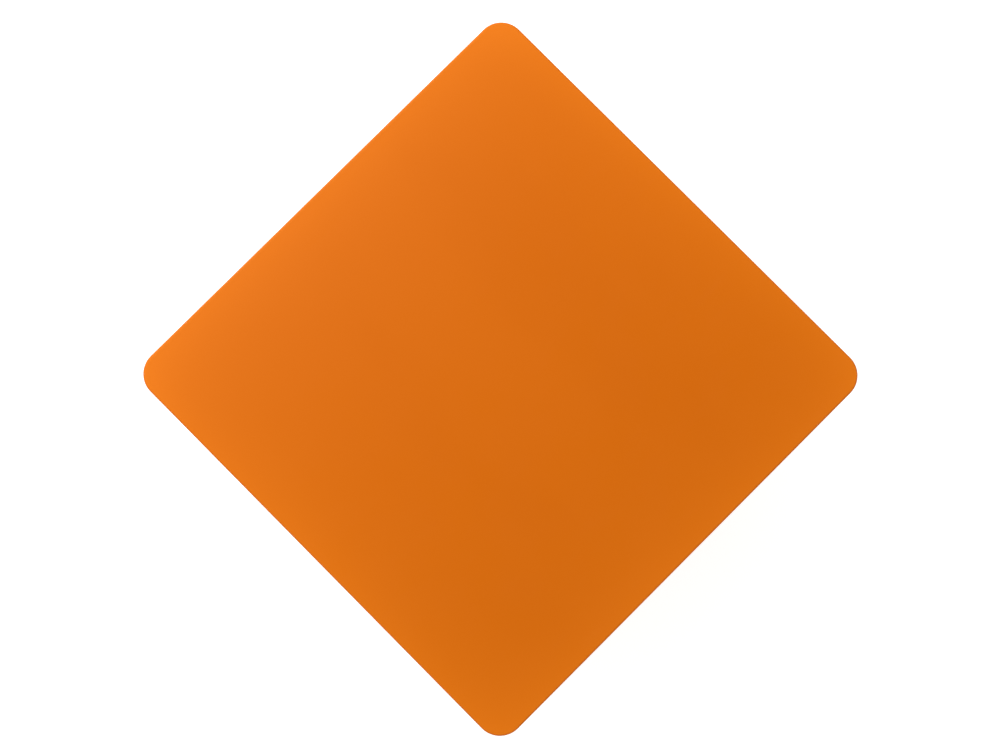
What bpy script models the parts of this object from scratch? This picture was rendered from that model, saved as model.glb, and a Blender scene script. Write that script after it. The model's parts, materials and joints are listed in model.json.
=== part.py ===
"""A mortar hawk: a square moulded plate, carried on an upright handle that screws off.

Metres, +Z up. The origin is the centre of the handle's foot, on the surface that the hawk stands on.
The plate's sides run along X and Y, and its working face is the highest surface and looks up.
"""

import math

import bmesh
import bpy

# The plate is one moulding: a skin, shallow square pockets under it, and a spigot in the middle.
SIDE = 0.330
CORNER_RADIUS = 0.049 * SIDE
SKIN = 0.0045
RIB_DEPTH = 0.0038
RIM_WIDTH = 0.006
RIB_WIDTH = 0.0025
CELLS = 6
POCKET_CORNER = 0.006
POCKET_DRAFT = 0.0004
TOP_EDGE = 0.0014
UNDER_EDGE = 0.0008
SPIGOT_RADIUS = 0.017
SPIGOT_DEPTH = 0.008
SKIN_OVER_INSERT = 0.003

# The bolt and its insert. Their threads are plain cylinders that clear each other.
BOLT_RADIUS = 0.0058
THREAD_HOLE = 0.0061
BOLT_HOLE = 0.0063
HEAD_ACROSS = 0.019
HEAD_HEIGHT = 0.0075
HEAD_FOOT = 0.0135
THREAD_ENGAGED = 0.012
INSERT_RADIUS = 0.010
INSERT_GROOVE = 0.0012

# The handle, from its foot to its flange, and what lies between the flange and the plate.
CAP_RADIUS = 0.021
CAP_FLANGE = 0.004
CAP_PLUG = 0.007
CAP_EDGE = 0.0012
BOSS_RADIUS = 0.019
BOSS_TOP = 0.0175
COUNTERBORE_RADIUS = 0.0133
COUNTERBORE_TOP = 0.012
SHANK_RADIUS = 0.013
FLANGE_TOP = 0.120
FLANGE_RADIUS = 0.024
FLANGE_THICKNESS = 0.005
CORE_EDGE = 0.0010
SPRING_WASHER_RADIUS = 0.0094
SPRING_WASHER_THICKNESS = 0.0022
THRUST_WASHER_RADIUS = 0.0145
THRUST_WASHER_THICKNESS = 0.0016
RETAINER_RADIUS = 0.0107
RETAINER_THICKNESS = 0.0010
PAD_RADIUS = 0.048
PAD_EDGE = 0.0025

# The grip swells in the palm and carries flutes along its length.
GRIP_RADIUS = 0.0165
GRIP_SWELL = 0.0022
GRIP_FLUTES = 12
FLUTE_DEPTH = 0.0012
GRIP_BEAD = 0.008
GRIP_EDGE = 0.0012

# Pieces that rest on each other keep this gap, and a cutter runs past a wall by this much.
GAP = 0.0003
PAST = 0.001

# Heights, each worked out from the ones below it.
WASHER_FOOT = FLANGE_TOP + GAP
SPIGOT_FACE = WASHER_FOOT + THRUST_WASHER_THICKNESS + GAP
LAND = SPIGOT_FACE + SPIGOT_DEPTH
FACE = LAND + RIB_DEPTH + SKIN
INSERT_HOLE_TOP = FACE - SKIN_OVER_INSERT
HEAD_TOP = HEAD_FOOT + HEAD_HEIGHT
BOLT_TIP = SPIGOT_FACE + THREAD_ENGAGED
HEX_POCKET_TOP = HEAD_TOP + SPRING_WASHER_THICKNESS + 2 * GAP
RETAINER_SEAT = FLANGE_TOP - RETAINER_THICKNESS - 2 * GAP
GRIP_FOOT = BOSS_TOP + GAP
GRIP_TOP = FLANGE_TOP - FLANGE_THICKNESS - GAP

CORNER_STEPS = 10
ARC_STEPS = 4
ROUND_STEPS = 48
SMALL_STEPS = 32
GRIP_STEPS = 72
GRIP_RINGS = 14

MATERIALS = {
    "orange_plastic": ((0.72, 0.16, 0.012), 0.45, 0.0),
    "black_plastic": ((0.025, 0.025, 0.027), 0.5, 0.0),
    "grip_rubber": ((0.035, 0.035, 0.038), 0.75, 0.0),
    "foam": ((0.045, 0.045, 0.048), 0.95, 0.0),
    "steel": ((0.62, 0.62, 0.6), 0.3, 1.0),
    "brass": ((0.78, 0.57, 0.27), 0.3, 1.0),
    "nylon": ((0.85, 0.84, 0.8), 0.4, 0.0),
}


def clear_scene():
    for obj in list(bpy.data.objects):
        bpy.data.objects.remove(obj)


def make_materials():
    for name, (colour, roughness, metallic) in MATERIALS.items():
        material = bpy.data.materials.new(name)
        material.use_nodes = True
        shader = material.node_tree.nodes["Principled BSDF"]
        shader.inputs["Base Color"].default_value = (*colour, 1.0)
        shader.inputs["Roughness"].default_value = roughness
        shader.inputs["Metallic"].default_value = metallic


def add_object(name, shape, material=None):
    """A named object from a bmesh, shaded smooth where its faces meet at a small angle."""
    bmesh.ops.recalc_face_normals(shape, faces=shape.faces)
    mesh = bpy.data.meshes.new(name)
    shape.to_mesh(mesh)
    shape.free()
    mesh.shade_smooth()
    mesh.set_sharp_from_angle(angle=math.radians(35))
    obj = bpy.data.objects.new(name, mesh)
    bpy.context.scene.collection.objects.link(obj)
    if material:
        mesh.materials.append(bpy.data.materials[material])
    return obj


def combine(obj, shape, operation):
    """Joins a shape to an object, or cuts it away, with a Boolean and a hidden helper."""
    helper = add_object(f"{obj.name}_{operation.lower()}", shape)
    helper.hide_render = True
    helper.display_type = "WIRE"
    modifier = obj.modifiers.new(operation.title(), "BOOLEAN")
    modifier.operation = operation
    modifier.object = helper


def arc(centre_r, centre_z, radius, start, end, steps=ARC_STEPS):
    """Points (r, z) on an arc from one angle to another, in degrees, both ends included."""
    turns = [math.radians(start + (end - start) * i / steps) for i in range(steps + 1)]
    return [(centre_r + radius * math.cos(t), centre_z + radius * math.sin(t)) for t in turns]


def circle(radius, z, steps):
    angles = [2 * math.pi * i / steps for i in range(steps)]
    return [(radius * math.cos(a), radius * math.sin(a), z) for a in angles]


def rounded_square(half, radius, z, steps=CORNER_STEPS, centre=(0.0, 0.0)):
    """The points, anticlockwise, of a square of this half side with rounded corners."""
    straight = half - radius
    points = []
    for quarter, (sign_x, sign_y) in enumerate(((1, 1), (-1, 1), (-1, -1), (1, -1))):
        for step in range(steps + 1):
            angle = (quarter + step / steps) * math.pi / 2
            x = centre[0] + sign_x * straight + radius * math.cos(angle)
            y = centre[1] + sign_y * straight + radius * math.sin(angle)
            points.append((x, y, z))
    return points


def loft(shape, rings):
    """Adds one closed solid: a skin over these rings of points, and a cap at each end."""
    rows = [[shape.verts.new(point) for point in ring] for ring in rings]
    for low, high in zip(rows, rows[1:]):
        for i in range(len(low)):
            j = (i + 1) % len(low)
            shape.faces.new((low[i], low[j], high[j], high[i]))
    shape.faces.new(list(reversed(rows[0])))
    shape.faces.new(rows[-1])


def rod(levels, steps):
    """A solid of revolution about Z, from (radius, z) pairs with the lowest first."""
    shape = bmesh.new()
    loft(shape, [circle(radius, z, steps) for radius, z in levels])
    return shape


def hexagon(across, levels):
    """A six-sided prism about Z. Each level is (distance inside the full size, z)."""
    shape = bmesh.new()
    loft(shape, [circle(across / math.sqrt(3) - inset, z, 6) for inset, z in levels])
    return shape


def turned(profile, steps, depth_at=None):
    """A ring about Z from a closed profile of (r, z) points. depth_at takes material off by angle."""
    shape = bmesh.new()
    columns = []
    for i in range(steps):
        angle = 2 * math.pi * i / steps
        column = []
        for r, z in profile:
            radius = r - depth_at(r, z, angle) if depth_at else r
            column.append(shape.verts.new((radius * math.cos(angle), radius * math.sin(angle), z)))
        columns.append(column)
    for i, column in enumerate(columns):
        following = columns[(i + 1) % steps]
        for j in range(len(profile)):
            k = (j + 1) % len(profile)
            shape.faces.new((column[j], following[j], following[k], column[k]))
    return shape


def pockets():
    """The square pockets under the plate, on a grid that leaves the middle cells solid."""
    cell = (SIDE - 2 * RIM_WIDTH - (CELLS - 1) * RIB_WIDTH) / CELLS
    middle = (CELLS - 1) / 2
    shape = bmesh.new()
    for column in range(CELLS):
        for row in range(CELLS):
            if max(abs(column - middle), abs(row - middle)) < 1:
                continue
            centre = [(n - middle) * (cell + RIB_WIDTH) for n in (column, row)]
            mouth = rounded_square(cell / 2, POCKET_CORNER, LAND - PAST, ARC_STEPS, centre)
            floor = rounded_square(
                cell / 2 - POCKET_DRAFT, POCKET_CORNER - POCKET_DRAFT, LAND + RIB_DEPTH, ARC_STEPS, centre
            )
            loft(shape, [mouth, floor])
    return shape


def plate():
    """The square plate, rounded along both edges, with its pockets, its spigot and the insert's hole."""
    lower = arc(-UNDER_EDGE, LAND + UNDER_EDGE, UNDER_EDGE, -90, 0)
    upper = arc(-TOP_EDGE, FACE - TOP_EDGE, TOP_EDGE, 0, 90)
    shape = bmesh.new()
    loft(shape, [rounded_square(SIDE / 2 + out, CORNER_RADIUS + out, z) for out, z in lower + upper])
    obj = add_object("plate", shape, "orange_plastic")
    combine(obj, pockets(), "DIFFERENCE")
    spigot = [
        (SPIGOT_RADIUS - UNDER_EDGE, SPIGOT_FACE),
        (SPIGOT_RADIUS, SPIGOT_FACE + UNDER_EDGE),
        (SPIGOT_RADIUS, LAND + PAST),
    ]
    combine(obj, rod(spigot, ROUND_STEPS), "UNION")
    hole = [(INSERT_RADIUS + GAP, SPIGOT_FACE - PAST), (INSERT_RADIUS + GAP, INSERT_HOLE_TOP)]
    combine(obj, rod(hole, ROUND_STEPS), "DIFFERENCE")


def threaded_insert():
    """The brass bush in the spigot that the bolt screws into, with a groove that locks it in the moulding."""
    low, high = SPIGOT_FACE + GAP, INSERT_HOLE_TOP - GAP
    middle = (low + high) / 2
    profile = [
        (THREAD_HOLE, low),
        (INSERT_RADIUS, low),
        (INSERT_RADIUS, middle - INSERT_GROOVE),
        (INSERT_RADIUS - INSERT_GROOVE, middle - INSERT_GROOVE / 2),
        (INSERT_RADIUS - INSERT_GROOVE, middle + INSERT_GROOVE / 2),
        (INSERT_RADIUS, middle + INSERT_GROOVE),
        (INSERT_RADIUS, high),
        (THREAD_HOLE, high),
    ]
    add_object("threaded_insert", turned(profile, SMALL_STEPS), "brass")


def flat_ring(name, inner, outer, low, thickness, material, steps=SMALL_STEPS):
    profile = [(inner, low), (outer, low), (outer, low + thickness), (inner, low + thickness)]
    add_object(name, turned(profile, steps), material)


def guard_pad():
    """The foam disc round the spigot, between the hand and the plate."""
    low, high = FLANGE_TOP + GAP, LAND - GAP
    inner = SPIGOT_RADIUS + 2 * GAP
    profile = [(inner, low)]
    profile += arc(PAD_RADIUS - PAD_EDGE, low + PAD_EDGE, PAD_EDGE, -90, 0)
    profile += arc(PAD_RADIUS - PAD_EDGE, high - PAD_EDGE, PAD_EDGE, 0, 90)
    profile += [(inner, high)]
    add_object("guard_pad", turned(profile, ROUND_STEPS), "foam")


def handle_core():
    """The stiff core: a boss at the foot, a shank through the grip, and the flange under the pad."""
    foot = CAP_FLANGE + GAP
    flange_foot = FLANGE_TOP - FLANGE_THICKNESS
    profile = [(COUNTERBORE_RADIUS, foot)]
    profile += arc(BOSS_RADIUS - CORE_EDGE, foot + CORE_EDGE, CORE_EDGE, -90, 0)
    profile += [(BOSS_RADIUS, BOSS_TOP), (SHANK_RADIUS, BOSS_TOP), (SHANK_RADIUS, flange_foot)]
    profile += arc(FLANGE_RADIUS - CORE_EDGE, flange_foot + CORE_EDGE, CORE_EDGE, -90, 0)
    profile += arc(FLANGE_RADIUS - CORE_EDGE, FLANGE_TOP - CORE_EDGE, CORE_EDGE, 0, 90)
    profile += [
        (RETAINER_RADIUS + GAP, FLANGE_TOP),
        (RETAINER_RADIUS + GAP, RETAINER_SEAT),
        (BOLT_HOLE, RETAINER_SEAT),
        (BOLT_HOLE, COUNTERBORE_TOP),
        (COUNTERBORE_RADIUS, COUNTERBORE_TOP),
    ]
    obj = add_object("handle_core", turned(profile, ROUND_STEPS), "black_plastic")
    levels = [(0.0, COUNTERBORE_TOP - PAST), (0.0, HEX_POCKET_TOP)]
    combine(obj, hexagon(HEAD_ACROSS + 2 * GAP, levels), "DIFFERENCE")


def handle_bolt():
    """The hexagon bolt through the handle. Its head is held in the core, so it turns with the handle."""
    obj = add_object(
        "handle_bolt",
        hexagon(HEAD_ACROSS, [(PAST, HEAD_FOOT), (0.0, HEAD_FOOT + PAST / 2), (0.0, HEAD_TOP)]),
        "steel",
    )
    shank = [
        (BOLT_RADIUS, HEAD_TOP - PAST),
        (BOLT_RADIUS, BOLT_TIP - PAST),
        (BOLT_RADIUS - PAST, BOLT_TIP),
    ]
    combine(obj, rod(shank, SMALL_STEPS), "UNION")


def spring_washer():
    """The split ring between the bolt's head and the core."""
    inner, outer = BOLT_HOLE, SPRING_WASHER_RADIUS
    low = HEAD_TOP + GAP
    high = low + SPRING_WASHER_THICKNESS
    split = math.radians(8)
    shape = bmesh.new()
    rings = []
    for i in range(SMALL_STEPS + 1):
        angle = split / 2 + (2 * math.pi - split) * i / SMALL_STEPS
        section = ((inner, low), (outer, low), (outer, high), (inner, high))
        rings.append([(r * math.cos(angle), r * math.sin(angle), z) for r, z in section])
    loft(shape, rings)
    add_object("spring_washer", shape, "steel")


def grip_radius(z):
    """The grip's outer radius at a height: it swells smoothly towards the middle of the palm."""
    along = (z - GRIP_FOOT) / (GRIP_TOP - GRIP_FOOT)
    return GRIP_RADIUS + GRIP_SWELL * math.sin(math.pi * along) ** 2


def flute_depth(r, z, angle):
    """How deep the flutes are here. They fade out at the grip's ends and leave its bore round."""
    if r < GRIP_RADIUS - GRIP_EDGE:
        return 0.0
    fade = min(1.0, max(0.0, min(z - GRIP_FOOT, GRIP_TOP - z) / GRIP_BEAD - 1))
    return FLUTE_DEPTH * fade * (0.5 + 0.5 * math.cos(GRIP_FLUTES * angle)) ** 2


def grip_sleeve():
    """The soft sleeve moulded over the core's shank."""
    inner = SHANK_RADIUS + GAP
    first, last = GRIP_FOOT + GRIP_EDGE, GRIP_TOP - GRIP_EDGE
    profile = [(inner, GRIP_FOOT)]
    profile += arc(grip_radius(first) - GRIP_EDGE, first, GRIP_EDGE, -90, 0)[:-1]
    for i in range(GRIP_RINGS + 1):
        z = first + (last - first) * i / GRIP_RINGS
        profile.append((grip_radius(z), z))
    profile += arc(grip_radius(last) - GRIP_EDGE, last, GRIP_EDGE, 0, 90)[1:]
    profile += [(inner, GRIP_TOP)]
    add_object("grip_sleeve", turned(profile, GRIP_STEPS, flute_depth), "grip_rubber")


def end_cap():
    """The cap that closes the foot of the handle, and that the hawk stands on."""
    levels = arc(CAP_RADIUS - CAP_EDGE, CAP_EDGE, CAP_EDGE, -90, 0)
    levels += arc(CAP_RADIUS - CAP_EDGE, CAP_FLANGE - CAP_EDGE, CAP_EDGE, 0, 90)
    plug = COUNTERBORE_RADIUS - GAP
    levels += [
        (plug, CAP_FLANGE),
        (plug, CAP_FLANGE + CAP_PLUG - PAST),
        (plug - PAST, CAP_FLANGE + CAP_PLUG),
    ]
    add_object("end_cap", rod(levels, ROUND_STEPS), "orange_plastic")


def main():
    clear_scene()
    make_materials()
    plate()
    threaded_insert()
    guard_pad()
    flat_ring(
        "thrust_washer", BOLT_HOLE, THRUST_WASHER_RADIUS, WASHER_FOOT, THRUST_WASHER_THICKNESS, "steel"
    )
    flat_ring(
        "bolt_retainer", THREAD_HOLE, RETAINER_RADIUS, RETAINER_SEAT + GAP, RETAINER_THICKNESS, "nylon"
    )
    handle_core()
    handle_bolt()
    spring_washer()
    grip_sleeve()
    end_cap()


main()
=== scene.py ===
"""Looks for the mortar hawk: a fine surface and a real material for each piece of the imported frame.

Metres, in the frame's own axes: +Z up, with the origin at the centre of the handle's foot. Heights and
outer sizes come from the frame's boxes. Outlines of turned pieces are corners (radius, height, rounding).
"""

import json
import math

import bmesh
import bpy
from mathutils import Matrix, Vector, noise


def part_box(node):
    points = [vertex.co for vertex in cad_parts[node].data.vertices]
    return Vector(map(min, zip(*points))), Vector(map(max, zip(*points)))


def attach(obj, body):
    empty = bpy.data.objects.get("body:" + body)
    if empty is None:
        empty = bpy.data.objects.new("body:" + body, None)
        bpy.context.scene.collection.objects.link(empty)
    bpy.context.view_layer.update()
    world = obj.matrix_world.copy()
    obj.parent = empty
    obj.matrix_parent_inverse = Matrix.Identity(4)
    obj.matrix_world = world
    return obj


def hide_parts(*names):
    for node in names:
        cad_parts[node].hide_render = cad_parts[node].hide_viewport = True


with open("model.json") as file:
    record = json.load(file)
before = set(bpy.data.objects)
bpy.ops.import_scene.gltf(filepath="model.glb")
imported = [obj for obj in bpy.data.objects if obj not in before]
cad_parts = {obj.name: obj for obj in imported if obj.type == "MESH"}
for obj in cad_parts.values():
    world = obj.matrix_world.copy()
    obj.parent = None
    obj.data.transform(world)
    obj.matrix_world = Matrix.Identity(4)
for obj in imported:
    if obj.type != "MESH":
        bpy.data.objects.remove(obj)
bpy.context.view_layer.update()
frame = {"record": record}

BODY_OF = {node: body for body, nodes in frame["record"]["behaviour"]["bodies"].items() for node in nodes}

# Neighbours keep a gap, a cutter runs past a wall, and a joined piece sinks in a little. Edges shorter than
# a sliver go.
GAP = 0.0003
PAST = 0.001
SINK = GAP / 6
SLIVER = 0.000002

# The plate's moulding. CORNER_SHARE is its corners' radius as a share of its side.
CORNER_SHARE = 0.049
TOP_EDGE = 0.0014
UNDER_EDGE = 0.0008
RIM_WIDTH = 0.006
RIB_WIDTH = 0.0025
RIB_DEPTH = 0.0038
CELLS = 6
POCKET_CORNER = 0.006
POCKET_DRAFT = 0.0004
POCKET_FILLET = 0.0012
RIB_ROUNDING = 0.0004
EJECTOR_RADIUS = 0.003
EJECTOR_DEPTH = 0.00015
SPIGOT_RADIUS = 0.017
SPIGOT_FILLET = 0.0009

# The M12 x 1.75 thread. The two threads share one phase, so they stay in mesh as the handle turns. The form
# is (share of a pitch, fullness from root to crest).
PITCH = 0.00175
BOLT_CREST = 0.00592
BOLT_ROOT = 0.00502
THREAD_CLEARANCE = 0.00015
THREAD_LENGTH = 0.030
THREAD_FORM = ((0.0, 1.0), (0.125, 1.0), (0.4375, 0.0), (0.6875, 0.0))
SPARE_TURNS = 2

# The bolt, the insert that it screws into, and the bolt's washers.
BOLT_RADIUS = 0.0058
BOLT_HOLE = 0.0063
RETAINER_HOLE = BOLT_HOLE - GAP / 1.5
HEAD_ACROSS = 0.019
HEAD_CHAMFER = 0.0011
KNURL_TEETH = 60
KNURL_DEPTH = 0.0005
INSERT_GROOVE = 0.0014
INSERT_CHAMFER = 0.0004
WASHER_EDGE = 0.0003
RETAINER_EDGE = 0.0002
WASHER_SPLIT = math.radians(9)

# The handle's core. BOSS_GROOVES are shares of the boss's height.
SHANK_RADIUS = 0.013
BOSS_TOP = 0.0175
BOSS_RADIUS = 0.019
BOSS_FOOT_EDGE = 0.001
BOSS_TOP_EDGE = 0.0007
BOSS_GROOVES = (0.35, 0.55, 0.75)
BOSS_GROOVE_DEPTH = 0.0005
BOSS_GROOVE_HALF = 0.0007
COUNTERBORE_RADIUS = 0.0133
COUNTERBORE_TOP = 0.012
COUNTERBORE_EDGE = 0.0004
FLANGE_THICKNESS = 0.005
FLANGE_FOOT_EDGE = 0.0014
FLANGE_TOP_EDGE = 0.0012
FLANGE_SCALLOPS = 24
SCALLOP_DEPTH = 0.0005
CORE_EDGE = 0.0003

# The grip.
GRIP_RADIUS = 0.0165
GRIP_SWELL = 0.0022
GRIP_COLLAR = 0.0055
GRIP_OUTER_EDGE = 0.0014
GRIP_INNER_EDGE = 0.0004
GRIP_GROOVE = 0.0007
GRIP_FACET = 0.0007
FLUTES = 12
FLUTE_DEPTH = 0.0016
FLUTE_HALF_WIDTH = 0.0031
FLUTE_MARGIN = 0.0115

# The foot's cap.
CAP_RIBS = 40
CAP_RIB_DEPTH = 0.00035
CAP_RIB_INSET = 0.006
CAP_GROOVE = 0.0135
CAP_GROOVE_DEPTH = 0.0005
CAP_GROOVE_EDGE = 0.0002
CAP_FOOT_EDGE = 0.0013
CAP_TOP_EDGE = 0.0012
CAP_PLUG_EDGE = 0.0008

# The foam pad is a little uneven, and bulges round the flange that presses into it.
FOAM_ROUNDING = 0.0032
FOAM_BULGE = 0.0007
FOAM_LUMP = 0.00014
FOAM_LUMP_SIZE = 0.007
FOAM_FACET = 0.001

# Facets in a full turn, in a rounded corner of an outline, and in a corner of a rounded square.
TURN_STEPS = 96
FINE_TURN_STEPS = 240
THREAD_STEPS = 60
WASHER_STEPS = 90
EJECTOR_STEPS = 32
ARC_STEPS = 6
PLATE_CORNER_STEPS = 26
POCKET_CORNER_STEPS = 6

SHARP_ANGLE = math.radians(32)

# Colours, each with the one that it wears, fades or ages to. The plate's lighter edge orange is no wear: it
# is painted light, a glow painted on the top near its sides.
ORANGE = (0.696, 0.150, 0.002)
ORANGE_DEEP = (0.656, 0.136, 0.001)
# Painted light: the lighter orange that the plate's top is painted with near its sides, a glow that no lamp
# gives.
ORANGE_PAINTED_GLOW = (0.872, 0.209, 0.007)
SPECK = (0.50, 0.10, 0.004)
BLACK, BLACK_WORN = (0.018, 0.018, 0.02), (0.03, 0.03, 0.032)
RUBBER, RUBBER_DUSTY = (0.020, 0.020, 0.022), (0.055, 0.053, 0.05)
FOAM_PORE, FOAM_WALL, FOAM_FADED = (0.036, 0.036, 0.038), (0.066, 0.066, 0.069), (0.10, 0.10, 0.102)
BRASS, BRASS_DULL = (0.80, 0.58, 0.27), (0.70, 0.48, 0.20)
ZINC, ZINC_DULL = (0.66, 0.66, 0.63), (0.52, 0.52, 0.5)
NYLON, NYLON_AGED = (0.86, 0.85, 0.80), (0.80, 0.78, 0.72)
WHITE = (1.0, 1.0, 1.0, 1.0)

# Painted light: the plate's top is painted lighter within about EDGE_GLOW of its sides, where its normal's Z
# is over EDGE_FACING, so only the up-facing top takes the painted glow.
EDGE_GLOW = 0.025
EDGE_FACING = 0.5

# The studio. The room is evenly lit up to WALL_TOP and dim from CEILING_FOOT up, so that the face mirrors
# little of it. Both are heights of a direction, from 0 at the horizon to 1 straight up.
WALL_TOP = 0.80
CEILING_FOOT = 0.93
WALL_LIGHT = 0.665
CEILING_LIGHT = 0.12
KEY_PLACE = (0.0, -0.85, 1.0)
KEY_SIZE = 1.2
KEY_POWER = 12.1
FLOOR_REACH = 30.0
FLOOR_MIDDLE = 10.0
FLOOR_GLOW_SEEN = 0.64
FLOOR_GLOW_CAST = 0.25

# The camera looks down on the plate's face, and its aim is CAMERA_AIM off the face's middle when rolled.
LENS = 50
CAMERA_DISTANCE = 0.88
CAMERA_ROLL = math.radians(135.13)
CAMERA_TILT = math.radians(2.98)
CAMERA_LEAN = math.radians(-0.13)
CAMERA_AIM = (-0.00038, -0.00042, 0.0)


def extent(node):
    """A round CAD node's outer radius, its lowest height and its highest."""
    low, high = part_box(node)
    return high.x, low.z, high.z


# ---------------------------------------------------------------- shapes


def held(share):
    """The share, held between 0 and 1."""
    return min(1.0, max(0.0, share))


def full_turn(steps):
    """Evenly spaced angles, once round."""
    return [2 * math.pi * i / steps for i in range(steps)]


def rounded(corners, closed=True, steps=ARC_STEPS):
    """The (r, z) points of an outline from its corners, (r, z, rounding), each turned into an arc."""
    points = []
    for i, (r, z, radius) in enumerate(corners):
        corner = Vector((r, z))
        end = not closed and i in (0, len(corners) - 1)
        if end or not radius:
            points.append(corner)
            continue
        back = (Vector(corners[i - 1][:2]) - corner).normalized()
        ahead = (Vector(corners[(i + 1) % len(corners)][:2]) - corner).normalized()
        half = back.angle(ahead) / 2
        centre = corner + (back + ahead).normalized() * radius / math.sin(half)
        start = (corner + back * radius / math.tan(half) - centre).normalized()
        stop = (corner + ahead * radius / math.tan(half) - centre).normalized()
        points += [centre + start.slerp(stop, step / steps) * radius for step in range(steps + 1)]
    return points


def refined(points, longest):
    """A closed outline with its long stretches divided, so that they can take a fine shape."""
    fine = []
    for here, there in zip(points, points[1:] + points[:1]):
        parts = max(1, math.ceil((there - here).length / longest))
        fine += [here.lerp(there, part / parts) for part in range(parts)]
    return fine


def around(r, z, angle, adjust=None):
    """The point at this radius, height and angle, after adjust has moved its radius and height."""
    if adjust:
        r, z = adjust(r, z, angle)
    return (r * math.cos(angle), r * math.sin(angle), z)


def loft(shape, rings):
    """Adds one closed solid: a skin over these rings of points, and a cap at each end."""
    rows = [[shape.verts.new(point) for point in ring] for ring in rings]
    for low, high in zip(rows, rows[1:]):
        for i in range(len(low)):
            j = (i + 1) % len(low)
            shape.faces.new((low[i], low[j], high[j], high[i]))
    shape.faces.new(list(reversed(rows[0])))
    shape.faces.new(rows[-1])
    return shape


def rod(points, steps=TURN_STEPS, adjust=None):
    """A solid of revolution about Z, from (r, z) points that run from one flat end to the other."""
    angles = full_turn(steps)
    return loft(bmesh.new(), [[around(r, z, angle, adjust) for angle in angles] for r, z in points])


def turned(points, steps=TURN_STEPS, adjust=None):
    """A ring about Z, from the closed (r, z) outline of its section."""
    shape = bmesh.new()
    columns = []
    for angle in full_turn(steps):
        columns.append([shape.verts.new(around(r, z, angle, adjust)) for r, z in points])
    for column, following in zip(columns, columns[1:] + columns[:1]):
        for j in range(len(points)):
            k = (j + 1) % len(points)
            shape.faces.new((column[j], following[j], following[k], column[k]))
    return shape


def rounded_square(half, radius, z, steps, centre=(0.0, 0.0)):
    """The points of a level square with round corners."""
    points = []
    for quarter, (sign_x, sign_y) in enumerate(((1, 1), (-1, 1), (-1, -1), (1, -1))):
        for step in range(steps + 1):
            angle = (quarter + step / steps) * math.pi / 2
            x = centre[0] + sign_x * (half - radius) + radius * math.cos(angle)
            y = centre[1] + sign_y * (half - radius) + radius * math.sin(angle)
            points.append((x, y, z))
    return points


def hexagon(across, low, high):
    """A hexagonal bar of this width across its flats."""
    return rod([(across / math.sqrt(3), low), (across / math.sqrt(3), high)], steps=6)


def threaded_bar(crest, root, low, high, steps=THREAD_STEPS):
    """A bar with a right-hand thread over at least this height. Its ramped ends are meant to be cut off."""
    rows = len(THREAD_FORM)
    first = math.floor(low / PITCH) - SPARE_TURNS
    turns = math.ceil((high - low) / PITCH) + 2 * SPARE_TURNS
    shape = bmesh.new()
    grid = []
    for row in range(turns * rows + 1):
        share, fullness = THREAD_FORM[row % rows]
        radius = root + (crest - root) * fullness
        start = first + row // rows + share
        heights = [PITCH * (start + i / steps) for i in range(steps)]
        grid.append([shape.verts.new(around(radius, z, a)) for a, z in zip(full_turn(steps), heights)])
    for row in range(turns * rows):
        for i in range(steps - 1):
            low_row, high_row = grid[row], grid[row + 1]
            shape.faces.new((low_row[i], low_row[i + 1], high_row[i + 1], high_row[i]))
        if row + rows < turns * rows:
            next_low, next_high = grid[row + rows][0], grid[row + rows + 1][0]
            shape.faces.new((grid[row][-1], next_low, next_high, grid[row + 1][-1]))
    bottom = grid[0] + [grid[row][0] for row in range(rows, 0, -1)]
    top = grid[-1] + [grid[row][-1] for row in range(-2, -rows - 2, -1)]
    for loop in (bottom, top):
        middle = shape.verts.new((0, 0, sum(v.co.z for v in loop) / len(loop)))
        for here, there in zip(loop, loop[1:] + loop[:1]):
            shape.faces.new((middle, here, there))
    return shape


def mesh_object(name, shape):
    """An object in the scene with this shape as its mesh."""
    mesh = bpy.data.meshes.new(name)
    shape.to_mesh(mesh)
    shape.free()
    obj = bpy.data.objects.new(name, mesh)
    bpy.context.scene.collection.objects.link(obj)
    return obj


def solid_object(name, shape):
    """An object in the scene with this closed shape as its mesh, its faces pointing out."""
    bmesh.ops.recalc_face_normals(shape, faces=shape.faces)
    return mesh_object(name, shape)


def combine(obj, shape, operation):
    """Joins a shape to an object, cuts it away or keeps what they share, and clears the slivers left."""
    helper = solid_object("helper", shape)
    modifier = obj.modifiers.new(operation.title(), "BOOLEAN")
    modifier.operation = operation
    modifier.object = helper
    evaluated = obj.evaluated_get(bpy.context.evaluated_depsgraph_get())
    result = bmesh.new()
    result.from_mesh(evaluated.to_mesh())
    bmesh.ops.dissolve_degenerate(result, dist=SLIVER, edges=result.edges)
    obj.modifiers.clear()
    result.to_mesh(obj.data)
    result.free()
    bpy.data.objects.remove(helper)


def place(obj, node, material):
    """Finishes a piece: smooth where it is round, with its material, on its body, for its CAD node."""
    obj.data.shade_smooth()
    obj.data.set_sharp_from_angle(angle=SHARP_ANGLE)
    obj.data.materials.clear()
    obj.data.materials.append(material)
    normals = obj.modifiers.new("Normals", "WEIGHTED_NORMAL")
    normals.keep_sharp = True
    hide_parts(node)
    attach(obj, BODY_OF[node])


# ---------------------------------------------------------------- material nodes


def add(tree, kind, inputs=None, **settings):
    """A shader node with its settings and its inputs. An input is a value or another node's output."""
    node = tree.nodes.new("ShaderNode" + kind)
    for name, value in settings.items():
        setattr(node, name, value)
    for name, value in (inputs or {}).items():
        if isinstance(value, bpy.types.NodeSocket):
            tree.links.new(value, node.inputs[name])
        else:
            node.inputs[name].default_value = value
    return node


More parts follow.
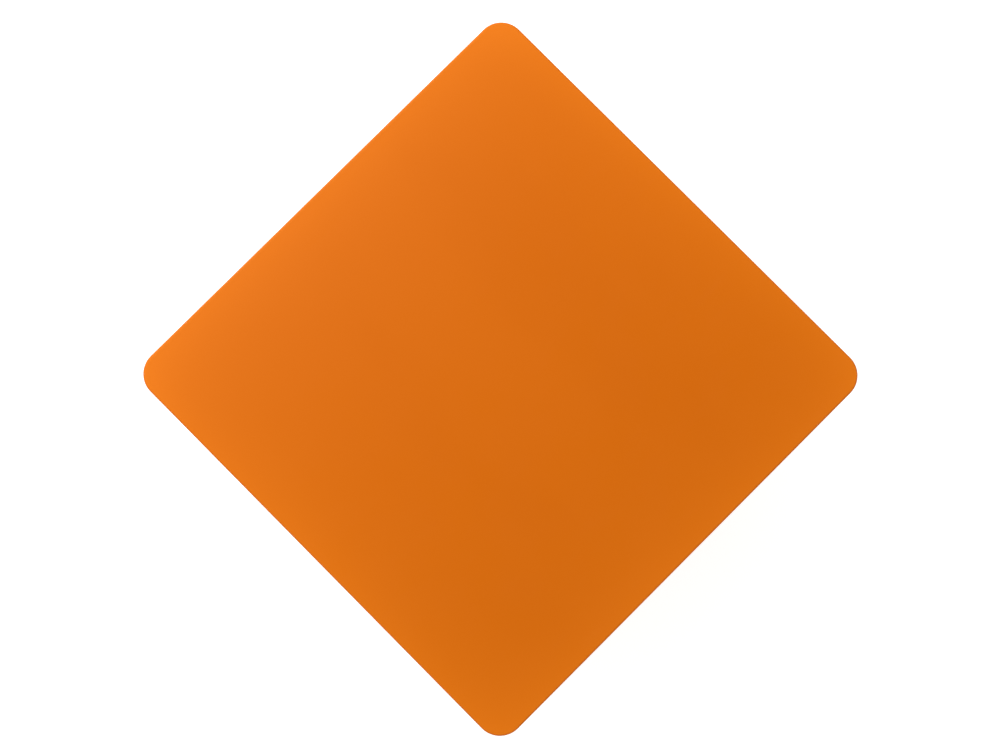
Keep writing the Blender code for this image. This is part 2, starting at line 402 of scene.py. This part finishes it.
def principled(name, constants):
    """A new material, its node tree, its shader with these constant inputs, and its object coordinates."""
    material = bpy.data.materials.new(name)
    material.use_nodes = True
    tree = material.node_tree
    shader = tree.nodes["Principled BSDF"]
    for socket, value in constants.items():
        shader.inputs[socket].default_value = value
    return material, tree, shader, add(tree, "TexCoord").outputs["Object"]


def stretched(tree, place_at, scale):
    return add(tree, "Mapping", {"Vector": place_at, "Scale": scale}).outputs["Vector"]


def grain(tree, place_at, size, detail=2.0, roughness=0.5):
    """Noise from 0 to 1 whose features are about this size."""
    inputs = {"Vector": place_at, "Scale": 1 / size, "Detail": detail, "Roughness": roughness}
    return add(tree, "TexNoise", inputs).outputs["Fac"]


def cells(tree, place_at, size, feature="F1"):
    """The distance to the nearest of many scattered points, which are about this far apart."""
    inputs = {"Vector": place_at, "Scale": 1 / size}
    return add(tree, "TexVoronoi", inputs, feature=feature).outputs["Distance"]


def remap(tree, value, source, target=(0.0, 1.0), smooth=False):
    """The value with its range from source stretched to target, and held at the ends."""
    inputs = {
        "Value": value,
        "From Min": source[0],
        "From Max": source[1],
        "To Min": target[0],
        "To Max": target[1],
    }
    kind = "SMOOTHSTEP" if smooth else "LINEAR"
    return add(tree, "MapRange", inputs, interpolation_type=kind).outputs["Result"]


def math_node(tree, operation, first, second=0.0):
    node = add(tree, "Math", operation=operation)
    for socket, value in zip(node.inputs, (first, second)):
        if isinstance(value, bpy.types.NodeSocket):
            tree.links.new(value, socket)
        else:
            socket.default_value = value
    return node.outputs["Value"]


def total(tree, values):
    result = values[0]
    for value in values[1:]:
        result = math_node(tree, "ADD", result, value)
    return result


def blended(tree, factor, first, second):
    """A colour that goes from the first to the second as the factor goes from 0 to 1."""
    colours = {"Fac": factor, "Color1": first, "Color2": second}
    for name in ("Color1", "Color2"):
        if isinstance(colours[name], tuple):
            colours[name] = (*colours[name], 1.0)
    return add(tree, "MixRGB", colours).outputs["Color"]


def raised(tree, pattern, height):
    """A pattern from 0 to 1 as heights up to this one, in metres."""
    return math_node(tree, "MULTIPLY", pattern, height)


def relief(tree, shader, heights):
    """Bump from heights, added up."""
    inputs = {"Height": total(tree, heights), "Distance": 1.0, "Strength": 1.0}
    tree.links.new(add(tree, "Bump", inputs).outputs["Normal"], shader.inputs["Normal"])


def edge_nearness(tree, place_at, half, reach):
    """Rises towards the sides of a square in X and Y: to a half at a side's middle, and 1 at a corner."""
    folded = add(tree, "VectorMath", operation="ABSOLUTE")
    tree.links.new(place_at, folded.inputs[0])
    parts = add(tree, "SeparateXYZ", {"Vector": folded.outputs["Vector"]}).outputs
    glows = []
    for axis in ("X", "Y"):
        inward = math_node(tree, "SUBTRACT", parts[axis], half)
        glows.append(math_node(tree, "EXPONENT", math_node(tree, "DIVIDE", inward, reach)))
    return math_node(tree, "MULTIPLY", total(tree, glows), 0.5)


# ---------------------------------------------------------------- materials


def orange_plastic(name, half=None):
    """Satin moulded plastic. Given half a square's width, its top is painted lighter towards the square's
    sides, as painted light.
    """
    material, tree, shader, here = principled(name, {"Specular IOR Level": 0.1})
    flow = grain(tree, stretched(tree, here, (1.0, 0.45, 1.0)), size=0.09, detail=3.0)
    deeper = remap(tree, flow, source=(0.35, 0.65), target=(0.0, 0.35), smooth=True)
    colour = blended(tree, deeper, ORANGE, ORANGE_DEEP)
    if half:
        # Painted light: the up-facing top is blended towards a lighter orange near the square's sides, a
        # painted glow.
        edge = edge_nearness(tree, here, half, EDGE_GLOW)
        up = add(tree, "SeparateXYZ", {"Vector": add(tree, "NewGeometry").outputs["Normal"]}).outputs["Z"]
        facing = remap(tree, up, source=(EDGE_FACING, 1.0))
        colour = blended(tree, math_node(tree, "MULTIPLY", edge, facing), colour, ORANGE_PAINTED_GLOW)
    dots = remap(tree, cells(tree, here, size=0.075), source=(0.004, 0.006), target=(0.45, 0.0))
    tree.links.new(blended(tree, dots, colour, SPECK), shader.inputs["Base Color"])
    scuff = grain(tree, stretched(tree, here, (1.0, 14.0, 1.0)), size=0.05, detail=6.0, roughness=0.7)
    worn = remap(tree, scuff, source=(0.55, 0.75), target=(0.0, 0.14))
    patch = remap(tree, grain(tree, here, size=0.03), source=(0.3, 0.7), target=(0.42, 0.48))
    tree.links.new(total(tree, [worn, patch]), shader.inputs["Roughness"])
    spark = raised(tree, grain(tree, here, size=0.0007, detail=3.0), height=0.000018)
    swell = raised(tree, grain(tree, here, size=0.05), height=0.00012)
    relief(tree, shader, [spark, swell])
    return material


def black_plastic():
    """Stiff moulded plastic with a spark-eroded texture."""
    material, tree, shader, here = principled("black_plastic", {})
    tone = remap(tree, grain(tree, here, size=0.012, detail=4.0), source=(0.3, 0.7))
    tree.links.new(blended(tree, tone, BLACK, BLACK_WORN), shader.inputs["Base Color"])
    wear = remap(tree, grain(tree, here, size=0.004, detail=5.0), source=(0.4, 0.7), target=(0.38, 0.55))
    tree.links.new(wear, shader.inputs["Roughness"])
    relief(tree, shader, [raised(tree, grain(tree, here, size=0.0006, detail=3.0), height=0.00003)])
    return material


def grip_rubber():
    """Soft rubber with a pebbled skin, and dust on it."""
    material, tree, shader, here = principled("grip_rubber", {"Specular IOR Level": 0.4})
    dust = remap(tree, grain(tree, here, size=0.015, detail=6.0, roughness=0.65), source=(0.45, 0.75))
    tree.links.new(blended(tree, dust, RUBBER, RUBBER_DUSTY), shader.inputs["Base Color"])
    dull = remap(tree, dust, source=(0.0, 1.0), target=(0.62, 0.85))
    tree.links.new(dull, shader.inputs["Roughness"])
    skin = raised(tree, cells(tree, here, size=0.0009, feature="SMOOTH_F1"), height=0.00006)
    fine = raised(tree, grain(tree, here, size=0.0003), height=0.00002)
    relief(tree, shader, [skin, fine])
    return material


def closed_cell_foam():
    """Foam with fine pores, faded in patches."""
    constants = {"Roughness": 0.95, "Specular IOR Level": 0.25, "Sheen Weight": 0.15, "Sheen Roughness": 0.6}
    material, tree, shader, here = principled("closed_cell_foam", constants)
    wall = remap(tree, cells(tree, here, size=0.0007), source=(0.05, 0.5), smooth=True)
    colour = blended(tree, wall, FOAM_PORE, FOAM_WALL)
    fade = remap(tree, grain(tree, here, size=0.02, detail=3.0), source=(0.35, 0.7), target=(0.0, 0.4))
    tree.links.new(blended(tree, fade, colour, FOAM_FADED), shader.inputs["Base Color"])
    pits = raised(tree, wall, height=0.00012)
    small = raised(tree, cells(tree, here, size=0.00035), height=0.00006)
    relief(tree, shader, [pits, small])
    return material


def metal(name, light, dark, roughness, ring_size):
    """Plated or turned metal, with fine tool rings about Z and a slightly uneven tone."""
    material, tree, shader, here = principled(name, {"Metallic": 1.0})
    tone = remap(tree, grain(tree, here, size=0.003, detail=5.0), source=(0.3, 0.7))
    tree.links.new(blended(tree, tone, light, dark), shader.inputs["Base Color"])
    mottle = grain(tree, here, size=0.0015, detail=4.0)
    blotch = remap(tree, mottle, source=(0.3, 0.7), target=(roughness - 0.06, roughness + 0.1))
    tree.links.new(blotch, shader.inputs["Roughness"])
    inputs = {"Vector": here, "Scale": 1 / ring_size, "Distortion": 0.6, "Detail": 2.0}
    rings = add(tree, "TexWave", inputs, wave_type="RINGS", rings_direction="Z").outputs["Fac"]
    relief(tree, shader, [raised(tree, rings, height=0.000006)])
    return material


def nylon():
    """Natural nylon, which lets a little light in."""
    constants = {"Roughness": 0.4, "Subsurface Weight": 0.3, "Subsurface Radius": (0.002, 0.0018, 0.0014)}
    material, tree, shader, here = principled("nylon", constants)
    tone = remap(tree, grain(tree, here, size=0.002, detail=3.0), source=(0.3, 0.7))
    tree.links.new(blended(tree, tone, NYLON, NYLON_AGED), shader.inputs["Base Color"])
    relief(tree, shader, [raised(tree, grain(tree, here, size=0.0005), height=0.00001)])
    return material


def pale_floor():
    """Matt white that glows a little, so that it reads as plain white. From below it is clear."""
    constants = {"Roughness": 0.9, "Specular IOR Level": 0.1, "Emission Color": WHITE}
    material, tree, shader, here = principled("pale_floor", constants)
    tone = remap(tree, grain(tree, here, size=0.4), source=(0.3, 0.7), target=(0.88, 0.92))
    tree.links.new(tone, shader.inputs["Base Color"])
    seen = add(tree, "LightPath").outputs["Is Camera Ray"]
    glow = remap(tree, seen, source=(0.0, 1.0), target=(FLOOR_GLOW_CAST, FLOOR_GLOW_SEEN))
    tree.links.new(glow, shader.inputs["Emission Strength"])
    mix = add(tree, "MixShader", {"Fac": add(tree, "NewGeometry").outputs["Backfacing"]})
    tree.links.new(shader.outputs["BSDF"], mix.inputs[1])
    tree.links.new(add(tree, "BsdfTransparent").outputs["BSDF"], mix.inputs[2])
    tree.links.new(mix.outputs["Shader"], tree.nodes["Material Output"].inputs["Surface"])
    return material


# ---------------------------------------------------------------- pieces


def pocket_centres():
    """The width of a pocket, and the centres of all of them: a grid whose middle cells stay solid."""
    side = 2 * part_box("plate")[1].x
    cell = (side - 2 * RIM_WIDTH - (CELLS - 1) * RIB_WIDTH) / CELLS
    middle = (CELLS - 1) / 2
    grid = [(column - middle, row - middle) for column in range(CELLS) for row in range(CELLS)]
    step = cell + RIB_WIDTH
    return cell, [(x * step, y * step) for x, y in grid if max(abs(x), abs(y)) > 1]


def pocket_cutter(land):
    """Drafted pockets, with round corners, a fillet at the floor and rounded rib feet."""
    cell, centres = pocket_centres()
    floor = land + RIB_DEPTH
    section = rounded(
        [
            (-2 * RIB_ROUNDING, land - PAST, 0),
            (-RIB_ROUNDING, land, 0),
            (0.0, land + RIB_ROUNDING, 0),
            (POCKET_DRAFT, floor, POCKET_FILLET),
            (2 * POCKET_FILLET, floor, 0),
        ],
        closed=False,
    )
    shape = bmesh.new()
    for centre in centres:
        rings = []
        for inset, z in section:
            half, radius = cell / 2 - inset, POCKET_CORNER - inset
            rings.append(rounded_square(half, radius, z, POCKET_CORNER_STEPS, centre))
        loft(shape, rings)
    return shape


def ejector_marks(floor):
    """The shallow round marks that the mould's ejector pins leave in the pockets' floors."""
    shape = bmesh.new()
    for x, y in pocket_centres()[1]:
        rings = []
        for z in (floor - PAST, floor + EJECTOR_DEPTH):
            angles = full_turn(EJECTOR_STEPS)
            ring = [(x + EJECTOR_RADIUS * math.cos(a), y + EJECTOR_RADIUS * math.sin(a), z) for a in angles]
            rings.append(ring)
        loft(shape, rings)
    return shape


def make_plate():
    """The plate: a slab with rounded edges, pockets under it, and a spigot that holds the insert."""
    half, foot, face = extent("plate")
    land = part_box("guard_pad")[1].z + GAP
    radius = CORNER_SHARE * 2 * half
    edge = rounded(
        [
            (-2 * TOP_EDGE, land, 0),
            (0.0, land, UNDER_EDGE),
            (0.0, face, TOP_EDGE),
            (-2 * TOP_EDGE, face, 0),
        ],
        closed=False,
        steps=9,
    )
    rings = [rounded_square(half + out, radius + out, z, PLATE_CORNER_STEPS) for out, z in edge]
    plate = solid_object("moulded_plate", loft(bmesh.new(), rings))
    combine(plate, pocket_cutter(land), "DIFFERENCE")
    combine(plate, ejector_marks(land + RIB_DEPTH), "DIFFERENCE")
    spigot = rounded(
        [
            (SPIGOT_RADIUS - 2 * UNDER_EDGE, foot, 0),
            (SPIGOT_RADIUS, foot, UNDER_EDGE),
            (SPIGOT_RADIUS, land + SINK, SPIGOT_FILLET),
            (SPIGOT_RADIUS + 2 * SPIGOT_FILLET, land + SINK, 0),
            (SPIGOT_RADIUS + 2 * SPIGOT_FILLET, land + PAST, 0),
        ],
        closed=False,
    )
    combine(plate, rod(spigot), "UNION")
    bush, _, bush_top = extent("threaded_insert")
    hole = [
        (bush + GAP + PAST, foot - PAST / 2),
        (bush + GAP, foot + PAST / 2),
        (bush + GAP, bush_top + GAP),
    ]
    combine(plate, rod(hole), "DIFFERENCE")
    place(plate, "plate", orange_plastic("plate_plastic", half))


def make_insert():
    """The brass bush: two knurled bands with a groove between them, and a real thread inside."""
    outer, low, high = extent("threaded_insert")
    middle = (low + high) / 2

    def knurl(r, z, angle):
        tooth = 0.5 - 0.5 * math.cos(KNURL_TEETH * angle)
        return (r - KNURL_DEPTH * tooth if r > outer - INSERT_CHAMFER / 2 else r), z

    outline = rounded(
        [
            (BOLT_ROOT, low, 0),
            (outer - INSERT_CHAMFER, low, 0),
            (outer, low + INSERT_CHAMFER, 0),
            (outer, middle - INSERT_GROOVE, 0),
            (outer - KNURL_DEPTH * 2, middle - INSERT_GROOVE / 2, 0),
            (outer - KNURL_DEPTH * 2, middle + INSERT_GROOVE / 2, 0),
            (outer, middle + INSERT_GROOVE, 0),
            (outer, high - INSERT_CHAMFER, 0),
            (outer - INSERT_CHAMFER, high, 0),
            (BOLT_ROOT, high, 0),
        ]
    )
    insert = solid_object("knurled_insert", turned(outline, steps=KNURL_TEETH * 4, adjust=knurl))
    crest, root = BOLT_CREST + THREAD_CLEARANCE, BOLT_ROOT + THREAD_CLEARANCE
    combine(insert, threaded_bar(crest, root, low - PITCH, high + PITCH), "DIFFERENCE")
    mouth = [
        (crest + INSERT_CHAMFER + PAST, low - PAST),
        (root - INSERT_CHAMFER, low + crest - root + INSERT_CHAMFER),
    ]
    combine(insert, rod(mouth), "DIFFERENCE")
    brass = metal("turned_brass", BRASS, BRASS_DULL, roughness=0.28, ring_size=0.0003)
    place(insert, "threaded_insert", brass)


def make_pad():
    """The foam disc. It is crowned at its edges and swells past the flange that presses on it."""
    outer, low, high = extent("guard_pad")
    inner = SPIGOT_RADIUS + 2 * GAP
    flange = extent("handle_core")[0]

    def foam(r, z, angle):
        spot = Vector(around(r, z, angle)) / FOAM_LUMP_SIZE
        lump = FOAM_LUMP * noise.noise(spot)
        underside = held(1 - (z - low) / FOAM_ROUNDING)
        beyond = held((r - flange) / (3 * FOAM_BULGE))
        bulge = FOAM_BULGE * underside * beyond * beyond * (3 - 2 * beyond)
        return r + lump, z - bulge + lump

    outline = rounded(
        [
            (inner, low, FOAM_ROUNDING / 3),
            (outer, low, FOAM_ROUNDING),
            (outer, high, FOAM_ROUNDING),
            (inner, high, FOAM_ROUNDING / 1.5),
        ],
        steps=8,
    )
    skin = turned(refined(outline, FOAM_FACET), steps=FINE_TURN_STEPS, adjust=foam)
    pad = solid_object("foam_pad", skin)
    place(pad, "guard_pad", closed_cell_foam())


def make_flat_ring(name, node, inner, rounding, material):
    """A plain washer, whose top edges are rounder than its lower ones."""
    outer, low, high = extent(node)
    outline = rounded(
        [
            (inner, low, rounding / 2),
            (outer, low, rounding / 2),
            (outer, high, rounding),
            (inner, high, rounding),
        ],
        steps=4,
    )
    place(solid_object(name, turned(outline)), node, material)


def boss_grooves(foot):
    """The corners of the grooves turned in the boss, from the lowest up."""
    corners = []
    for share in BOSS_GROOVES:
        z = foot + share * (BOSS_TOP - foot)
        corners += [
            (BOSS_RADIUS, z - BOSS_GROOVE_HALF, CORE_EDGE),
            (BOSS_RADIUS - BOSS_GROOVE_DEPTH, z, CORE_EDGE),
            (BOSS_RADIUS, z + BOSS_GROOVE_HALF, CORE_EDGE),
        ]
    return corners


def make_core():
    """The stiff core. Its flange is scalloped for the fingers, and its boss has turned grooves."""
    flange, foot, top = extent("handle_core")
    retainer, retainer_foot, _ = extent("bolt_retainer")
    seat = retainer_foot - GAP
    flange_foot = top - FLANGE_THICKNESS

    def scallops(r, z, angle):
        wave = (0.5 + 0.5 * math.cos(FLANGE_SCALLOPS * angle)) ** 2
        rim = held((r - BOSS_RADIUS) / (flange - BOSS_RADIUS))
        return r - SCALLOP_DEPTH * wave * rim * rim, z

    outline = rounded(
        [
            (COUNTERBORE_RADIUS, foot, COUNTERBORE_EDGE),
            (BOSS_RADIUS, foot, BOSS_FOOT_EDGE),
            *boss_grooves(foot),
            (BOSS_RADIUS, BOSS_TOP, BOSS_TOP_EDGE),
            (SHANK_RADIUS, BOSS_TOP, 0),
            (SHANK_RADIUS, flange_foot, 0),
            (flange, flange_foot, FLANGE_FOOT_EDGE),
            (flange, top, FLANGE_TOP_EDGE),
            (retainer + GAP, top, CORE_EDGE),
            (retainer + GAP, seat, 0),
            (BOLT_HOLE, seat, CORE_EDGE),
            (BOLT_HOLE, COUNTERBORE_TOP, 0),
            (COUNTERBORE_RADIUS, COUNTERBORE_TOP, 0),
        ]
    )
    core = solid_object("handle_moulding", turned(outline, steps=FLANGE_SCALLOPS * 8, adjust=scallops))
    pocket_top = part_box("spring_washer")[1].z + GAP
    combine(core, hexagon(HEAD_ACROSS + 2 * GAP, COUNTERBORE_TOP - PAST, pocket_top), "DIFFERENCE")
    place(core, "handle_core", black_plastic())


def make_grip():
    """The soft sleeve: a collar at each end, a palm swell, and flutes with round ends."""
    low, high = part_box("grip_sleeve")[0].z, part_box("grip_sleeve")[1].z
    inner = SHANK_RADIUS + GAP
    sector = 2 * math.pi / FLUTES

    def swell(r, z, angle):
        if r < GRIP_RADIUS - GRIP_OUTER_EDGE:
            return r, z
        outward = (r - inner) / (GRIP_RADIUS - inner)
        r += GRIP_SWELL * outward * math.sin(math.pi * (z - low) / (high - low)) ** 2
        ring = min(abs(z - low - GRIP_COLLAR), abs(z - high + GRIP_COLLAR)) / GRIP_GROOVE
        r -= GRIP_GROOVE * max(0.0, 1 - ring * ring)
        across = ((angle + sector / 2) % sector - sector / 2) * r / FLUTE_HALF_WIDTH
        overrun = max(low + FLUTE_MARGIN - z, z - high + FLUTE_MARGIN, 0.0) / FLUTE_HALF_WIDTH
        distance = min(1.0, math.hypot(across, overrun))
        return r - FLUTE_DEPTH * math.cos(distance * math.pi / 2) ** 2, z

    outline = rounded(
        [
            (inner, low, GRIP_INNER_EDGE),
            (GRIP_RADIUS, low, GRIP_OUTER_EDGE),
            (GRIP_RADIUS, high, GRIP_OUTER_EDGE),
            (inner, high, GRIP_INNER_EDGE),
        ],
        steps=8,
    )
    skin = turned(refined(outline, GRIP_FACET), steps=FINE_TURN_STEPS, adjust=swell)
    place(solid_object("fluted_grip", skin), "grip_sleeve", grip_rubber())


def bolt_thread(foot, tip):
    """The bolt's threaded end, chamfered at its tip."""
    thread = solid_object("thread", threaded_bar(BOLT_CREST, BOLT_ROOT, foot, tip))
    ends = [
        (BOLT_CREST + GAP, foot - GAP),
        (BOLT_CREST + GAP, tip - PAST - GAP),
        (BOLT_ROOT - GAP, tip),
    ]
    combine(thread, rod(ends), "INTERSECT")
    shape = bmesh.new()
    shape.from_mesh(thread.data)
    bpy.data.objects.remove(thread)
    return shape


def make_bolt():
    """The hexagon bolt, with a chamfered head and a real thread at its end."""
    _, foot, tip = extent("handle_bolt")
    head_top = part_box("spring_washer")[0].z - GAP
    corner = HEAD_ACROSS / math.sqrt(3)
    bolt = solid_object("hexagon_bolt", hexagon(HEAD_ACROSS, foot, head_top))
    rim = [
        (corner - 2 * HEAD_CHAMFER, foot - GAP),
        (corner + GAP, foot + HEAD_CHAMFER),
        (corner + GAP, head_top + PAST),
    ]
    combine(bolt, rod(rim), "INTERSECT")
    thread_foot = tip - THREAD_LENGTH
    shank = [
        (BOLT_RADIUS, head_top - PAST),
        (BOLT_RADIUS, thread_foot),
        (BOLT_ROOT - GAP, thread_foot + BOLT_RADIUS - BOLT_ROOT + GAP),
    ]
    combine(bolt, rod(shank), "UNION")
    combine(bolt, bolt_thread(thread_foot, tip), "UNION")
    zinc = metal("zinc_plated_bolt", ZINC, ZINC_DULL, roughness=0.32, ring_size=0.0005)
    place(bolt, "handle_bolt", zinc)


def make_spring_washer(material):
    """The spring washer, split at one place."""
    outer, low, high = extent("spring_washer")
    corners = ((BOLT_HOLE, low), (outer, low), (outer, high), (BOLT_HOLE, high))
    section = rounded([(r, z, WASHER_EDGE) for r, z in corners], steps=3)
    rings = []
    for i in range(WASHER_STEPS + 1):
        angle = WASHER_SPLIT / 2 + (2 * math.pi - WASHER_SPLIT) * i / WASHER_STEPS
        rings.append([around(r, z, angle) for r, z in section])
    place(solid_object("split_washer", loft(bmesh.new(), rings)), "spring_washer", material)


def make_cap():
    """The foot's cap, ribbed round its rim, with a shallow ring groove under it."""
    outer, low, high = extent("end_cap")
    plug = COUNTERBORE_RADIUS - GAP
    flange_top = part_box("handle_core")[0].z - GAP

    def ribs(r, z, angle):
        rim = held((r - plug - CAP_RIB_INSET) / (outer - plug - CAP_RIB_INSET))
        return r - CAP_RIB_DEPTH * rim * (0.5 + 0.5 * math.cos(CAP_RIBS * angle)), z

    outline = rounded(
        [
            (CAP_GROOVE / 2, low, 0),
            (CAP_GROOVE - CAP_GROOVE_DEPTH, low, CAP_GROOVE_EDGE),
            (CAP_GROOVE, low + CAP_GROOVE_DEPTH, CAP_GROOVE_EDGE),
            (CAP_GROOVE + CAP_GROOVE_DEPTH, low, CAP_GROOVE_EDGE),
            (outer, low, CAP_FOOT_EDGE),
            (outer, flange_top, CAP_TOP_EDGE),
            (plug, flange_top, 0),
            (plug, high, CAP_PLUG_EDGE),
            (plug / 2, high, 0),
        ],
        closed=False,
    )
    cap = solid_object("foot_cap", rod(outline, steps=CAP_RIBS * 6, adjust=ribs))
    place(cap, "end_cap", orange_plastic("cap_plastic"))


# ---------------------------------------------------------------- studio


def make_floor():
    """A large floor that the foot stands on, wherever the handle is.

    Its middle is off to one side, which keeps the seam between its two triangles away from the foot.
    """
    shape = bmesh.new()
    signs = ((-1, -1), (1, -1), (1, 1), (-1, 1))
    corners = [(FLOOR_MIDDLE + x * FLOOR_REACH, y * FLOOR_REACH, -GAP) for x, y in signs]
    shape.faces.new([shape.verts.new(corner) for corner in corners])
    floor = mesh_object("floor", shape)
    floor.data.materials.append(pale_floor())
    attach(floor, BODY_OF["end_cap"])


def make_world():
    """A room with pale walls and a dim ceiling. The camera sees it as plain white."""
    world = bpy.data.worlds.new("studio")
    world.use_nodes = True
    tree = world.node_tree
    height = add(tree, "SeparateXYZ", {"Vector": add(tree, "TexCoord").outputs["Generated"]}).outputs["Z"]
    levels = (WALL_LIGHT, CEILING_LIGHT)
    room = remap(tree, height, source=(WALL_TOP, CEILING_FOOT), target=levels, smooth=True)
    seen = add(tree, "LightPath").outputs["Is Camera Ray"]
    strength = remap(tree, seen, source=(0.0, 1.0), target=(room, 1.0))
    tree.links.new(strength, tree.nodes["Background"].inputs["Strength"])
    tree.nodes["Background"].inputs["Color"].default_value = WHITE
    bpy.context.scene.world = world


def make_key_light():
    """A large soft light, high on the -Y side."""
    light = bpy.data.lights.new("key", "AREA")
    light.shape = "DISK"
    light.size = KEY_SIZE
    light.energy = KEY_POWER
    key = bpy.data.objects.new("key", light)
    key.location = KEY_PLACE
    aim = Vector((0, 0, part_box("plate")[1].z))
    key.rotation_euler = (Vector(KEY_PLACE) - aim).to_track_quat("Z", "Y").to_euler()
    bpy.context.scene.collection.objects.link(key)


def make_camera():
    """Above the plate and almost square to it, rolled so that one corner is up."""
    rolled = Matrix.Rotation(CAMERA_ROLL, 3, "Z")
    aim = Vector((0, 0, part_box("plate")[1].z)) + rolled @ Vector(CAMERA_AIM)
    turn = rolled @ Matrix.Rotation(CAMERA_TILT, 3, "X") @ Matrix.Rotation(CAMERA_LEAN, 3, "Y")
    data = bpy.data.cameras.new("camera")
    data.lens = LENS
    camera = bpy.data.objects.new("camera", data)
    camera.location = aim + turn @ Vector((0, 0, CAMERA_DISTANCE))
    camera.rotation_euler = turn.to_euler()
    bpy.context.scene.collection.objects.link(camera)
    bpy.context.scene.camera = camera


def main():
    steel = metal("zinc_plated_steel", ZINC, ZINC_DULL, roughness=0.3, ring_size=0.0004)
    make_plate()
    make_insert()
    make_pad()
    make_flat_ring("thrust_ring", "thrust_washer", BOLT_HOLE, WASHER_EDGE, steel)
    make_flat_ring("nylon_retainer", "bolt_retainer", RETAINER_HOLE, RETAINER_EDGE, nylon())
    make_core()
    make_grip()
    make_bolt()
    make_spring_washer(steel)
    make_cap()
    make_floor()
    make_world()
    make_key_light()
    make_camera()
    bpy.context.scene.view_settings.view_transform = "Standard"


main()
